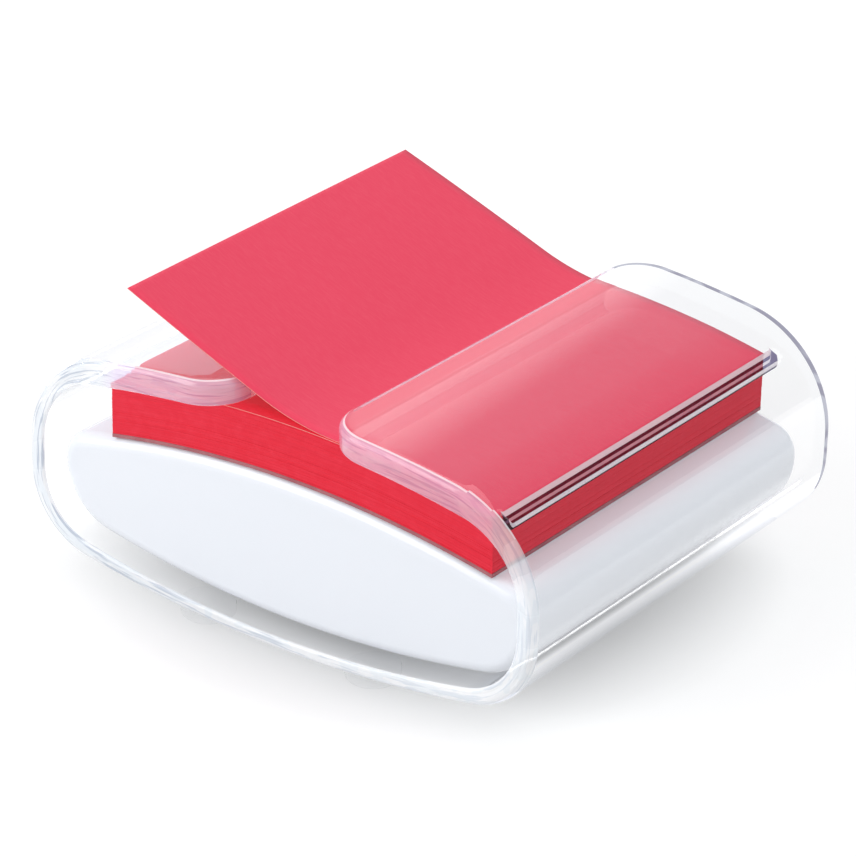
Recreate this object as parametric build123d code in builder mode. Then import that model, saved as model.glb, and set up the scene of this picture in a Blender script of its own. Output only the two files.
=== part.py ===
# Sticky note dispenser: a clear sleeve with a slotted top, and a weighted white base
# that slides in it and carries a pad of notes. Millimetres, +Z up, X across the slot,
# -Y the front mouth. The origin is under the middle, on the surface it stands on.

import os
from math import asin, cos, degrees, radians, sin, sqrt

from build123d import *

# Pad of notes
note_size = 76.0
card_thickness = 0.6
stack_thickness = 8.9
sheet_thickness = 0.12
paper_gap = 0.03
pad_shift = 1.5
flap_lean = 21.7
flap_clearance = 0.3
bend_setback = 0.3

# Weighted base
base_height = 25.1
base_end_margin = 0.5
base_crown_radius_share = 2.5
base_shoulder_share = 0.376
base_corner_share = 0.842
base_edge_round = 2.2
base_wall = 2.0
base_clearance = 0.3
seat_gap = 0.05

# Cover under the base
cover_thickness = 3.0
cover_margin_x = 11.0
cover_margin_y = 3.5
cover_corner = 3.0
cover_gap = 0.15
rail_spacing_share = 0.708
rail_width = 3.0
rail_clearance = 0.4

# Ballast plates, on posts of the cover with formed heads
ballast_margin_x = 3.7
ballast_margin_y = 5.0
ballast_thickness = 4.0
ballast_corner = 4.0
ballast_gap = 0.05
post_spacing_x_share = 0.417
post_spacing_y_share = 0.667
post_diameter = 5.0
post_gap = 0.2
post_head_diameter = 7.6
post_head_height = 1.4

# Cover screws
screw_inset = 5.0
screw_diameter = 2.5
screw_length = 10.0
screw_head_diameter = 4.8
screw_head_height = 1.2
screw_recess = 0.1
screw_gap = 0.05
head_gap = 0.15
boss_diameter = 6.4
boss_tip_room = 1.5

# Clear sleeve
side_room = 9.2
side_wall = 3.2
floor_wall = 2.4
top_wall = 4.4
headroom = 0.7
mouth_recess = 4.25
top_radius_share = 2.934
bottom_radius_share = 2.96
inner_top_radius_share = 2.632
inner_bottom_radius_share = 2.5
upper_corner_share = 0.607
lower_corner_share = 0.447
inner_upper_corner_share = 0.533
slot_width = 19.4
lip_corner = 7.5
rim_round = 1.5
inner_rim_round = 0.5
rib_width = 1.5
rib_reach = 7.0
rib_gap = 0.4
rib_front_setback = 6.5
rib_back_setback = 3.0
rib_tip_round = 0.6

# Feet
foot_diameter = 9.0
foot_spacing = 33.4
foot_inset = 5.3
foot_lift = 1.6
foot_round = 1.0
glue_gap = 0.05

# One overrun for all cuts
overrun = 10.0

# Heights, from the surface upwards
sleeve_low = foot_lift
inner_low = sleeve_low + floor_wall
base_low = inner_low + base_clearance
crown = base_low + base_height
card_low = crown + seat_gap
stack_low = card_low + card_thickness + paper_gap
next_low = stack_low + stack_thickness + paper_gap
tail_low = next_low + sheet_thickness + paper_gap
pad_top = tail_low + sheet_thickness
inner_high = pad_top + headroom
sleeve_high = inner_high + top_wall

# Widths and depths
inner_half = note_size / 2 + side_room
sleeve_half = inner_half + side_wall
base_half = inner_half - base_clearance
base_depth = note_size + 2 * base_end_margin
sleeve_depth = base_depth + 2 * mouth_recess
slot_half = slot_width / 2

# Shallow arcs go by the note, and corners by the side that they share


def sagitta(radius, half):
    """Rise of an arc between its middle and a place across it."""
    return radius - sqrt(radius**2 - half**2)


top_radius = top_radius_share * note_size
bottom_radius = bottom_radius_share * note_size
inner_top_radius = inner_top_radius_share * note_size
inner_bottom_radius = inner_bottom_radius_share * note_size
base_crown_radius = base_crown_radius_share * note_size
base_bottom_radius = inner_bottom_radius - base_clearance
sleeve_arcs = sagitta(top_radius, sleeve_half) + sagitta(bottom_radius, sleeve_half)
sleeve_side = sleeve_high - sleeve_low - sleeve_arcs
inner_arcs = sagitta(inner_top_radius, inner_half) + sagitta(inner_bottom_radius, inner_half)
inner_side = inner_high - inner_low - inner_arcs
base_side = base_height - sagitta(base_crown_radius, base_half) - sagitta(base_bottom_radius, base_half)
upper_corner = upper_corner_share * sleeve_side
lower_corner = lower_corner_share * sleeve_side
inner_upper_corner = inner_upper_corner_share * inner_side
base_shoulder = base_shoulder_share * base_side
base_corner = base_corner_share * base_side
inner_lower_corner = base_corner + base_clearance
pad_radius = base_crown_radius + (pad_top - crown) / 2
pad_half = pad_radius * sin(note_size / 2 / pad_radius)
pad_left = pad_shift - pad_half
pad_right = pad_shift + pad_half

# Sections are drawn across X with Y as their height, and stand up on the XZ plane.


def lens(half, low, high, low_radius, high_radius, low_corner, high_corner):
    """Two shallow arcs between upright sides, with rounded corners."""
    with BuildSketch() as section:
        with Locations((0, low + low_radius)):
            Circle(low_radius)
        with Locations((0, high - high_radius)):
            Circle(high_radius, mode=Mode.INTERSECT)
        Rectangle(2 * half, 2 * low_radius, mode=Mode.INTERSECT)
        fillet(section.vertices().sort_by(Axis.Y)[:2], low_corner)
        fillet(section.vertices().sort_by(Axis.Y)[-2:], high_corner)
    return section.sketch


def sleeve_body(inset):
    """The sleeve's outside, drawn in by an inset."""
    return lens(
        sleeve_half - inset,
        sleeve_low + inset,
        sleeve_high - inset,
        bottom_radius - inset,
        top_radius - inset,
        lower_corner - inset,
        upper_corner - inset,
    )


def sleeve_bore(inset):
    """The sleeve's inside, drawn in by an inset."""
    return lens(
        inner_half - inset,
        inner_low + inset,
        inner_high - inset,
        inner_bottom_radius - inset,
        inner_top_radius - inset,
        inner_lower_corner - inset,
        inner_upper_corner - inset,
    )


def base_body(inset):
    """The base's outside, drawn in by an inset."""
    return lens(
        base_half - inset,
        base_low + inset,
        crown - inset,
        base_bottom_radius - inset,
        base_crown_radius - inset,
        base_corner - inset,
        base_shoulder - inset,
    )


def floor_layer(low, high):
    """A layer along the base's bottom arc, between two heights above it."""
    with BuildSketch() as section:
        with Locations((0, base_low + base_bottom_radius)):
            Circle(base_bottom_radius - low)
            Circle(base_bottom_radius - high, mode=Mode.SUBTRACT)
        Rectangle(2 * base_half, 2 * crown, mode=Mode.INTERSECT)
    return section.sketch


def floor_height(x, rise):
    """Height of that layer's arc at a place across the base."""
    return base_low + rise + sagitta(base_bottom_radius - rise, x)


def pad_layer(low, thickness, left, right):
    """A layer of the pad, bent over the crown of the base."""
    radius = base_crown_radius + low - crown
    with BuildSketch() as section:
        with Locations((0, low - radius)):
            Circle(radius + thickness)
            Circle(radius, mode=Mode.SUBTRACT)
        with Locations((left, 0)):
            Rectangle(right - left, 2 * pad_top, align=(Align.MIN, Align.CENTER), mode=Mode.INTERSECT)
    return section.sketch


def across(edge):
    """True for an edge that doesn't run along Y."""
    return abs(edge.tangent_at(0.5).Y) < 0.999


def on_rim(edge):
    """True for an edge of the sleeve's mouths or lips, and not for a seam between its walls."""
    near_slot = abs(edge.position_at(0.5).X) < slot_half + 2 * lip_corner
    return abs(edge.tangent_at(0.5).Z) < 0.999 if near_slot else across(edge)


def at_lip(corner):
    """True for a corner of the slot's plan where a lip ends at a mouth."""
    return abs(corner.X) < slot_half + lip_corner and abs(corner.Y) < sleeve_depth / 2 + lip_corner


def inside(face):
    """A test for edges whose middle lies inside a section."""
    return lambda edge: face.is_inside(Vector(edge.position_at(0.5).X, edge.position_at(0.5).Z, 0))


# Clear sleeve: the section run along Y, slotted at the top, with lips rounded in plan

within_wall = inside(sleeve_body(inner_rim_round).face())
within_bore = inside(sleeve_bore(-inner_rim_round).face())
sleeve_outline = sleeve_body(0)
bore_outline = sleeve_bore(0)
rib_root = sleeve_body(side_wall / 2)
rib_left = pad_right + rib_gap
rib_length = sleeve_depth - rib_front_setback - rib_back_setback

with BuildPart() as sleeve:
    with BuildSketch(Plane.XZ):
        add(sleeve_outline)
        add(bore_outline, mode=Mode.SUBTRACT)
    extrude(amount=sleeve_depth / 2, both=True)
    with BuildSketch(Plane.XY.offset(inner_high - top_wall)) as slot:
        Rectangle(slot_width, sleeve_depth + 2 * overrun)
        with Locations((0, sleeve_depth / 2), (0, -sleeve_depth / 2 - overrun)):
            Rectangle(sleeve_half, overrun, align=(Align.CENTER, Align.MIN))
        fillet(slot.vertices().filter_by(at_lip), lip_corner)
    extrude(amount=sleeve_high, mode=Mode.SUBTRACT)
    fillet(sleeve.edges().filter_by(on_rim).filter_by(within_bore), inner_rim_round)
    fillet(sleeve.edges().filter_by(on_rim).filter_by(within_wall, reverse=True), rim_round)
    with BuildSketch(Plane.XZ.offset(rib_back_setback - sleeve_depth / 2)) as rib:
        with Locations((rib_left, inner_high - rib_reach)):
            Rectangle(rib_width, rib_reach, align=(Align.MIN, Align.MIN))
        fillet(rib.vertices().group_by(Axis.Y)[0], rib_tip_round)
        add(rib_root, mode=Mode.INTERSECT)
    extrude(amount=rib_length)

# Feet: round bumpers whose tops follow the curve of the sleeve's underside

foot_seat = sleeve_body(-glue_gap)
foot_x = foot_spacing / 2
foot_y = sleeve_depth / 2 - foot_inset
foot_places = {
    "foot_front_left": (-foot_x, -foot_y),
    "foot_front_right": (foot_x, -foot_y),
    "foot_back_left": (-foot_x, foot_y),
    "foot_back_right": (foot_x, foot_y),
}


def make_foot(place):
    with BuildPart() as foot:
        with BuildSketch():
            with Locations(place):
                Circle(foot_diameter / 2)
        extrude(amount=base_low)
        fillet(foot.edges().group_by(Axis.Z)[0], foot_round)
        with BuildSketch(Plane.XZ):
            add(foot_seat)
        extrude(amount=sleeve_depth, both=True, mode=Mode.SUBTRACT)
    return foot.part


# Base shell: a domed moulding, open underneath inside its rim, with screw bosses

cover_half_x = base_half - cover_margin_x
cover_half_y = base_depth / 2 - cover_margin_y
screw_x = cover_half_x - screw_inset
screw_y = cover_half_y - screw_inset
screw_head_low = floor_height(screw_x + screw_head_diameter / 2, 0) + screw_recess
screw_neck = screw_head_low + screw_head_height
screw_tip = screw_neck + screw_length
base_outline = base_body(0)
base_cavity = base_body(base_wall)
boss_root = base_body(base_wall / 2)
opening_layer = floor_layer(-overrun, cover_thickness + seat_gap)

with BuildPart() as opening:
    with BuildSketch():
        RectangleRounded(
            2 * (cover_half_x + cover_gap),
            2 * (cover_half_y + cover_gap),
            cover_corner + cover_gap,
        )
    extrude(amount=crown)
    with BuildSketch(Plane.XZ):
        add(opening_layer)
    extrude(amount=base_depth, both=True, mode=Mode.INTERSECT)

with BuildPart() as bosses:
    with BuildSketch():
        with GridLocations(2 * screw_x, 2 * screw_y, 2, 2):
            Circle(boss_diameter / 2)
    extrude(amount=crown)
    with BuildSketch(Plane.XZ):
        add(boss_root)
    extrude(amount=base_depth, both=True, mode=Mode.INTERSECT)
    with BuildSketch():
        with GridLocations(2 * screw_x, 2 * screw_y, 2, 2):
            Circle(screw_diameter / 2 + screw_gap)
    extrude(amount=screw_tip + boss_tip_room, mode=Mode.SUBTRACT)

with BuildPart() as shell:
    with BuildSketch(Plane.XZ):
        add(base_outline)
    extrude(amount=base_depth / 2, both=True)
    fillet(shell.edges().filter_by(across), base_edge_round)
    with BuildSketch(Plane.XZ):
        add(base_cavity)
    extrude(amount=base_depth / 2 - base_wall, both=True, mode=Mode.SUBTRACT)
    add(bosses.part)
    add(opening.part, mode=Mode.SUBTRACT)

# Base cover: a curved plate in that opening, with rails and posts for the ballast

ballast_width = 2 * (screw_x - boss_diameter / 2 - ballast_margin_x)
ballast_length = 2 * (cover_half_y - ballast_margin_y)
rail_spacing = rail_spacing_share * ballast_width
post_spacing_x = post_spacing_x_share * ballast_width
post_spacing_y = post_spacing_y_share * ballast_length
ballast_low = floor_height(ballast_width / 2, cover_thickness) + rail_clearance
ballast_high = ballast_low + 2 * ballast_thickness + ballast_gap
rail_high = ballast_low - ballast_gap
post_high = ballast_high + ballast_gap
cover_layer = floor_layer(0, cover_thickness)

with BuildPart() as cover:
    with BuildSketch():
        RectangleRounded(2 * cover_half_x, 2 * cover_half_y, cover_corner)
    extrude(amount=crown)
    with BuildSketch(Plane.XZ):
        add(cover_layer)
    extrude(amount=base_depth, both=True, mode=Mode.INTERSECT)
    with BuildSketch(Plane.XY.offset(rail_high)):
        with GridLocations(rail_spacing, 0, 2, 1):
            Rectangle(rail_width, ballast_length)
    extrude(amount=floor_height(rail_spacing / 2, cover_thickness / 2) - rail_high)
    with BuildSketch(Plane.XY.offset(post_high)):
        with GridLocations(post_spacing_x, post_spacing_y, 2, 2):
            Circle(post_diameter / 2)
    extrude(amount=floor_height(post_spacing_x / 2, cover_thickness / 2) - post_high)
    with BuildSketch(Plane.XY.offset(post_high)):
        with GridLocations(post_spacing_x, post_spacing_y, 2, 2):
            Circle(post_head_diameter / 2)
    extrude(amount=post_head_height)
    chamfer(cover.edges().group_by(Axis.Z)[-1], post_head_height / 2)
    with BuildSketch():
        with GridLocations(2 * screw_x, 2 * screw_y, 2, 2):
            Circle(screw_diameter / 2 + screw_gap)
    extrude(amount=crown, mode=Mode.SUBTRACT)
    with BuildSketch():
        with GridLocations(2 * screw_x, 2 * screw_y, 2, 2):
            Circle(screw_head_diameter / 2 + head_gap)
    extrude(amount=screw_neck + seat_gap, mode=Mode.SUBTRACT)


def make_ballast(low):
    """One steel plate with holes for the cover's posts."""
    with BuildPart() as plate:
        with BuildSketch(Plane.XY.offset(low)):
            RectangleRounded(ballast_width, ballast_length, ballast_corner)
            with GridLocations(post_spacing_x, post_spacing_y, 2, 2):
                Circle(post_diameter / 2 + post_gap, mode=Mode.SUBTRACT)
        extrude(amount=ballast_thickness)
    return plate.part


# Cover screws: one node of four alike

with BuildPart() as screws:
    with BuildSketch(Plane.XY.offset(screw_head_low)):
        with GridLocations(2 * screw_x, 2 * screw_y, 2, 2):
            Circle(screw_head_diameter / 2)
    extrude(amount=screw_head_height)
    with BuildSketch(Plane.XY.offset(screw_neck)):
        with GridLocations(2 * screw_x, 2 * screw_y, 2, 2):
            Circle(screw_diameter / 2)
    extrude(amount=screw_length)
    chamfer(screws.edges().group_by(Axis.Z)[-1], screw_diameter / 4)

# Pad: card, stack and top sheets, each bent over the crown of the base

bend_x = slot_half - bend_setback
sheet_middle = base_crown_radius + tail_low + sheet_thickness / 2 - crown
bend_slope = degrees(asin(bend_x / sheet_middle))


def make_layer(low, thickness, left):
    section = pad_layer(low, thickness, left, pad_right)
    with BuildPart() as layer:
        with BuildSketch(Plane.XZ):
            add(section)
        extrude(amount=note_size / 2, both=True)
    return layer.part


# Popped note: from the bend beside the right lip it curves up and leans over the left lip.
# Its bend radius lets it pass the rounded edge of that lip at the clearance.


def lift(angle):
    """Across and up, square to a sheet that rises to the left at an angle."""
    return Vector(sin(radians(angle)), cos(radians(angle)))


lip_edge_high = sleeve_high - sagitta(top_radius, slot_half)
lip_round_centre = Vector(-slot_half - rim_round, lip_edge_high - rim_round)
bend_point = Vector(0, crown - base_crown_radius) + sheet_middle * lift(bend_slope)
lip_drop = (bend_point - lip_round_centre).dot(lift(flap_lean))
bend_room = lip_drop - rim_round - flap_clearance - sheet_thickness / 2
bend_radius = bend_room / (1 - cos(radians(flap_lean - bend_slope)))
bend_centre = bend_point + bend_radius * lift(bend_slope)
bend_length = bend_radius * radians(flap_lean - bend_slope)
tail_length = sheet_middle * (asin(pad_right / sheet_middle) - asin(bend_x / sheet_middle))
flag_length = note_size - tail_length - bend_length

with BuildPart() as flap:
    with BuildSketch(Plane.XZ):
        with BuildLine():
            over = bend_radius - sheet_thickness / 2
            under = bend_radius + sheet_thickness / 2
            start = 270 - bend_slope
            upper = CenterArc(bend_centre, over, start, bend_slope - flap_lean)
            lower = CenterArc(bend_centre, under, start, bend_slope - flap_lean)
            upper_flag = PolarLine(upper @ 1, flag_length, 180 - flap_lean)
            lower_flag = PolarLine(lower @ 1, flag_length, 180 - flap_lean)
            Line(upper @ 0, lower @ 0)
            Line(upper_flag @ 1, lower_flag @ 1)
        make_face()
    extrude(amount=note_size / 2, both=True)

# Finished pieces

pieces = {
    "clear_sleeve": sleeve.part,
    **{name: make_foot(place) for name, place in foot_places.items()},
    "base_shell": shell.part,
    "base_cover": cover.part,
    "ballast_lower": make_ballast(ballast_low),
    "ballast_upper": make_ballast(ballast_low + ballast_thickness + ballast_gap),
    "cover_screws": screws.part,
    "backing_card": make_layer(card_low, card_thickness, pad_left),
    "note_stack": make_layer(stack_low, stack_thickness, pad_left),
    "next_note": make_layer(next_low, sheet_thickness, pad_left),
    "note_tail": make_layer(tail_low, sheet_thickness, bend_x + paper_gap),
    "popped_note": flap.part,
}

os.makedirs("parts", exist_ok=True)
for name, piece in pieces.items():
    piece.label = name
    export_step(piece, f"parts/{name}.step")
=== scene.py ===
# %% [markdown]
# # A sticky note dispenser, dressed for its portrait
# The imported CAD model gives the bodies, their places and their joints. This lesson keeps that frame as it is
# and gives it looks: a clear moulded sleeve, a white weighted base and a pad of coral notes whose top sheet
# stands out of the slot. We load the frame first, and keep its box so that the looks can be held to its size.

# %% Load the frame
import math
import random

import bpy
from mathutils import Matrix, Vector


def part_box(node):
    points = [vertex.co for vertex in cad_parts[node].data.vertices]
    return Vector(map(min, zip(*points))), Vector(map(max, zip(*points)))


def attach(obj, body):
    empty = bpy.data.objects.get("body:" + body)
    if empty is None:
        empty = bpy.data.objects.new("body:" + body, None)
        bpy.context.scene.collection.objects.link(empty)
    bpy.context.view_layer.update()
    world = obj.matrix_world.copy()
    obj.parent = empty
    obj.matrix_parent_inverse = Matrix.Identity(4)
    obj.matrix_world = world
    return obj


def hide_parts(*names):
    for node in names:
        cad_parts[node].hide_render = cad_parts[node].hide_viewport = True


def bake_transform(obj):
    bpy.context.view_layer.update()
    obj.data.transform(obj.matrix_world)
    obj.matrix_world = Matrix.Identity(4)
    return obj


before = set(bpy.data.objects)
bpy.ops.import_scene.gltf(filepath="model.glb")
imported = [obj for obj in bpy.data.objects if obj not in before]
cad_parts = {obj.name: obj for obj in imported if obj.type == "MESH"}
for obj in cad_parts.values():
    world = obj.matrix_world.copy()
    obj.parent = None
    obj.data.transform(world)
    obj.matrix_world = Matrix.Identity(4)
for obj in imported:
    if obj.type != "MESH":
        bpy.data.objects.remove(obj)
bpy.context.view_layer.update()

# %% [markdown]
# ## The camera
# A product shot like this one is taken with a long lens from a step away, so that upright edges stay nearly
# parallel. We could aim a camera by hand, but a place given by azimuth, elevation and distance is easier to
# read. The camera rolls a little, as a hand-held one does, and the picture is square.

# %% Camera
PICTURE_SIDE = 856
FOCAL_PIXELS = 3800.0
AZIMUTH, ELEVATION, ROLL = math.radians(36.04), math.radians(25.794), math.radians(1.323)
AIM = Vector((-0.003064, 0.002896, 0.0223))
DISTANCE = 0.627373

towards_camera = Vector(
    (
        math.sin(AZIMUTH) * math.cos(ELEVATION),
        -math.cos(AZIMUTH) * math.cos(ELEVATION),
        math.sin(ELEVATION),
    )
)
level_right = Vector((math.cos(AZIMUTH), math.sin(AZIMUTH), 0.0))
level_up = towards_camera.cross(level_right)
right = level_right * math.cos(ROLL) + level_up * math.sin(ROLL)
up = level_up * math.cos(ROLL) - level_right * math.sin(ROLL)

lens = bpy.data.cameras.new("long_lens")
lens.sensor_width = 36.0
lens.lens = FOCAL_PIXELS * lens.sensor_width / PICTURE_SIDE
lens.clip_start, lens.clip_end = 0.01, 50.0
camera = bpy.data.objects.new("camera", lens)
camera.matrix_world = Matrix.Translation(AIM + towards_camera * DISTANCE) @ Matrix(
    (right, up, towards_camera)
).transposed().to_4x4()
bpy.context.scene.collection.objects.link(camera)
bpy.context.scene.camera = camera
bpy.context.scene.view_settings.view_transform = "Standard"
print("lens", round(lens.lens, 1), "mm")

# %% [markdown]
# ## Small helpers for nodes
# Every finish here is a handful of shader nodes. One helper puts a node into a tree, sets its values and
# wires its inputs. A few more stand for the nodes that come up most: sums, ramps, noise, bumps and mixed
# colours. So each finish below reads like a recipe. An effect that several finishes share is built once, as a
# node group with named sockets, and placed in each of them.

# %% Node helpers
COLOUR_A, COLOUR_B, COLOUR_RESULT = 6, 7, 2  # the colour sockets of a Mix node


def put(tree, kind, inputs=(), **settings):
    """A new node of a kind, with values or sockets for its inputs and settings for its properties."""
    node = tree.nodes.new("ShaderNode" + kind)
    for name, value in settings.items():
        setattr(node, name, value)
    feed(tree, node, inputs)
    return node


def feed(tree, node, inputs):
    """Sets or wires the inputs of a node, named or numbered."""
    for name, value in dict(inputs).items():
        if isinstance(value, bpy.types.NodeSocket):
            tree.links.new(value, node.inputs[name])
        else:
            node.inputs[name].default_value = value


def spot_on(tree):
    """The place on the object."""
    return put(tree, "TexCoord").outputs["Object"]


def axes_on(tree):
    """The place on the object as X, Y and Z."""
    return put(tree, "SeparateXYZ", {0: spot_on(tree)}).outputs


def sum_of(tree, operation, *values):
    """The result of a sum on numbers or sockets."""
    return put(tree, "Math", dict(enumerate(values)), operation=operation).outputs[0]


def ramp(tree, value, start=0.0, end=1.0, first=0.0, last=1.0, **settings):
    """A number that goes from first to last while a value goes from start to end."""
    inputs = {"Value": value, "From Min": start, "From Max": end, "To Min": first, "To Max": last}
    return put(tree, "MapRange", inputs, **settings).outputs["Result"]


def noise(tree, spot, scale, detail, distortion=0.0):
    """A cloudy number at a place."""
    inputs = {"Vector": spot, "Scale": scale, "Detail": detail, "Distortion": distortion}
    return put(tree, "TexNoise", inputs).outputs[0]


def bumped(tree, height, strength, distance):
    """The normal of a relief, with its depth in metres."""
    return put(tree, "Bump", {"Height": height, "Strength": strength, "Distance": distance}).outputs[0]


def tinted(tree, mask, first, second):
    """A colour that goes from first to second with a mask."""
    mix = put(tree, "Mix", {"Factor": mask}, data_type="RGBA")
    for slot, colour in ((COLOUR_A, first), (COLOUR_B, second)):
        feed(tree, mix, {slot: colour if isinstance(colour, bpy.types.NodeSocket) else (*colour, 1.0)})
    return mix.outputs[COLOUR_RESULT]


def effect(name, inputs, outputs):
    """A node group with number inputs and number outputs, and its two end nodes."""
    tree = bpy.data.node_groups.new(name, "ShaderNodeTree")
    for label, value in inputs.items():
        socket = tree.interface.new_socket(name=label, in_out="INPUT", socket_type="NodeSocketFloat")
        socket.default_value = value
    for label in outputs:
        tree.interface.new_socket(name=label, in_out="OUTPUT", socket_type="NodeSocketFloat")
    return tree, tree.nodes.new("NodeGroupInput").outputs, tree.nodes.new("NodeGroupOutput")


def place(tree, group, inputs=()):
    """A group placed in a material, with its own values."""
    node = tree.nodes.new("ShaderNodeGroup")
    node.node_tree = group
    feed(tree, node, inputs)
    return node.outputs


def finish_named(name, **constants):
    """A new material, and its Principled shader with constant values on its own sockets."""
    made = bpy.data.materials.new(name)
    made.use_nodes = True
    shader = made.node_tree.nodes["Principled BSDF"]
    for label, value in constants.items():
        shader.inputs[label.replace("_", " ")].default_value = value
    return made, made.node_tree, shader


# %% [markdown]
# ## Effects that the finishes share
# A moulded skin is never quite flat: it has a fine grain from the tool, and slow waves where the plastic
# flowed and shrank. Handling leaves hair scratches and smudges. Edges are polished by fingers and sleeves.
# Paper has fibres in every direction and a cloudy thickness. Each is a group that gives masks and heights.

# %% Moulded skin: grain, waves and mottling
moulded_skin, knobs, ends = effect(
    "moulded_skin", {"Grain Scale": 2500.0, "Wave Scale": 70.0, "Wave Share": 0.8}, ["Height", "Mottle"]
)
spot = spot_on(moulded_skin)
grain = noise(moulded_skin, spot, scale=knobs["Grain Scale"], detail=2.0)
waves = noise(moulded_skin, spot, scale=knobs["Wave Scale"], detail=1.0)
mottle = noise(moulded_skin, spot, scale=38.0, detail=3.0)
height = put(moulded_skin, "Mix", {"Factor": knobs["Wave Share"], "A": grain, "B": waves}).outputs["Result"]
feed(moulded_skin, ends, {"Height": height, "Mottle": mottle})
print("group", moulded_skin.name)

# %% Handling: hair scratches and smudges
SCRATCH_TURN, SCRATCH_STRETCH = (0.4, 0.3, 0.9), (1.0, 22.0, 22.0)
handling, knobs, ends = effect(
    "handling", {"Scratch Scale": 60.0, "Smudge Scale": 45.0}, ["Scratch", "Smudge"]
)
spot = spot_on(handling)
bend = put(handling, "TexNoise", {"Vector": spot, "Scale": 25.0}).outputs["Color"]
swerve = put(handling, "VectorMath", {0: bend, "Scale": 0.0015}, operation="SCALE").outputs[0]
path = put(handling, "VectorMath", {0: spot, 1: swerve}, operation="ADD").outputs[0]
laid = {"Vector": path, "Rotation": SCRATCH_TURN, "Scale": SCRATCH_STRETCH}
drawn = put(handling, "Mapping", laid).outputs[0]
hair = noise(handling, drawn, scale=knobs["Scratch Scale"], detail=2.0)
smear = noise(handling, spot, scale=knobs["Smudge Scale"], detail=4.0, distortion=1.2)
scratch = ramp(handling, hair, start=0.7, end=0.8)
smudge = ramp(handling, smear, start=0.45, end=0.75)
feed(handling, ends, {"Scratch": scratch, "Smudge": smudge})
print("group", handling.name)

# %% Flow lines: thin wavy lines where the melt met the edge of the mould
NOISE_MIDDLE = 0.5
flow_lines, knobs, ends = effect("flow_lines", {"Line Scale": 90.0, "Width": 0.03}, ["Line", "Height"])
eddy = noise(flow_lines, spot_on(flow_lines), scale=knobs["Line Scale"], detail=2.0, distortion=1.6)
apart = sum_of(flow_lines, "ABSOLUTE", sum_of(flow_lines, "SUBTRACT", eddy, NOISE_MIDDLE))
line = ramp(flow_lines, apart, end=knobs["Width"], first=1.0, last=0.0, interpolation_type="SMOOTHSTEP")
feed(flow_lines, ends, {"Line": line, "Height": eddy})
print("group", flow_lines.name)

# %% Rim streaks: lines and facets that follow a rim
LONG_AND_THIN, LONG_AND_BROAD = (0.1, 1.7, 1.0), (0.17, 0.5, 1.0)  # noise steps per mm along and across
rim_streaks, knobs, ends = effect("rim_streaks", {"Start": 0.52, "Full": 0.63}, ["Streak", "Facet", "Height"])
spot = put(rim_streaks, "Attribute", attribute_name="rim_place").outputs["Vector"]
thin = put(rim_streaks, "VectorMath", {0: spot, 1: LONG_AND_THIN}, operation="MULTIPLY").outputs[0]
broad = put(rim_streaks, "VectorMath", {0: spot, 1: LONG_AND_BROAD}, operation="MULTIPLY").outputs[0]
fibre = noise(rim_streaks, thin, scale=1.0, detail=2.0, distortion=0.5)
plate = noise(rim_streaks, broad, scale=1.0, detail=1.0, distortion=0.8)
streak = ramp(rim_streaks, fibre, knobs["Start"], knobs["Full"], interpolation_type="SMOOTHSTEP")
facet = ramp(rim_streaks, plate, start=0.5, end=0.54)
feed(rim_streaks, ends, {"Streak": streak, "Facet": facet, "Height": fibre})
print("group", rim_streaks.name)

# %% Worn edges: where the surface turns outwards
worn_edge, knobs, ends = effect("worn_edge", {"Begin": 0.52, "End": 0.6}, ["Edge"])
sharpness = put(worn_edge, "NewGeometry").outputs["Pointiness"]
crest = ramp(worn_edge, sharpness, knobs["Begin"], knobs["End"])
chips = noise(worn_edge, spot_on(worn_edge), scale=400.0, detail=3.0)
feed(worn_edge, ends, {"Edge": sum_of(worn_edge, "MULTIPLY", crest, chips)})
print("group", worn_edge.name)

# %% Paper: fibres and cloudy thickness
FIBRE_LEAN, FIBRE_STRETCH = 0.3, (1.0, 7.0, 1.0)
paper_fibre, knobs, ends = effect(
    "paper_fibre", {"Fibre Scale": 420.0, "Cloud Scale": 60.0}, ["Fibre", "Cloud", "Height"]
)
spot = spot_on(paper_fibre)
threads = []
for turn in (0.35, 1.25, 2.3):
    laid = {"Vector": spot, "Rotation": (0.0, FIBRE_LEAN, turn), "Scale": FIBRE_STRETCH}
    lying = put(paper_fibre, "Mapping", laid).outputs[0]
    threads.append(noise(paper_fibre, lying, scale=knobs["Fibre Scale"], detail=3.0))
felt = sum_of(paper_fibre, "MAXIMUM", sum_of(paper_fibre, "MAXIMUM", *threads[:2]), threads[2])
fibre = ramp(paper_fibre, felt, start=0.5, end=0.75)
cloud = noise(paper_fibre, spot, scale=knobs["Cloud Scale"], detail=4.0)
feed(paper_fibre, ends, {"Fibre": fibre, "Cloud": cloud, "Height": felt})
print("group", paper_fibre.name)

# %% [markdown]
# ## Finish: clear plastic
# The sleeve is polished acrylic, colourless and glossy. Its true index of 1.49 would bend the view at every
# rim so strongly that the pad behind it breaks into slivers, while on the real one the view runs nearly
# straight. So the body of the shader has a very low index, and a coat on top of it keeps the gloss of
# acrylic. Rays that look for light would stop at a refracting wall, so they meet a nearly clear shader
# instead. Towards its outline the wall is seen through more plastic, so its colour deepens there, partly as
# painted shade, most of all on the low corners. Those corners also lead light along, which a painted glow
# shows as a pale band outside, and they have no gloss inside.

# %% Clear plastic
MAX_TURNS = 3.5
BLACK, WHITE = (0.0, 0.0, 0.0), (1.0, 1.0, 1.0)


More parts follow.
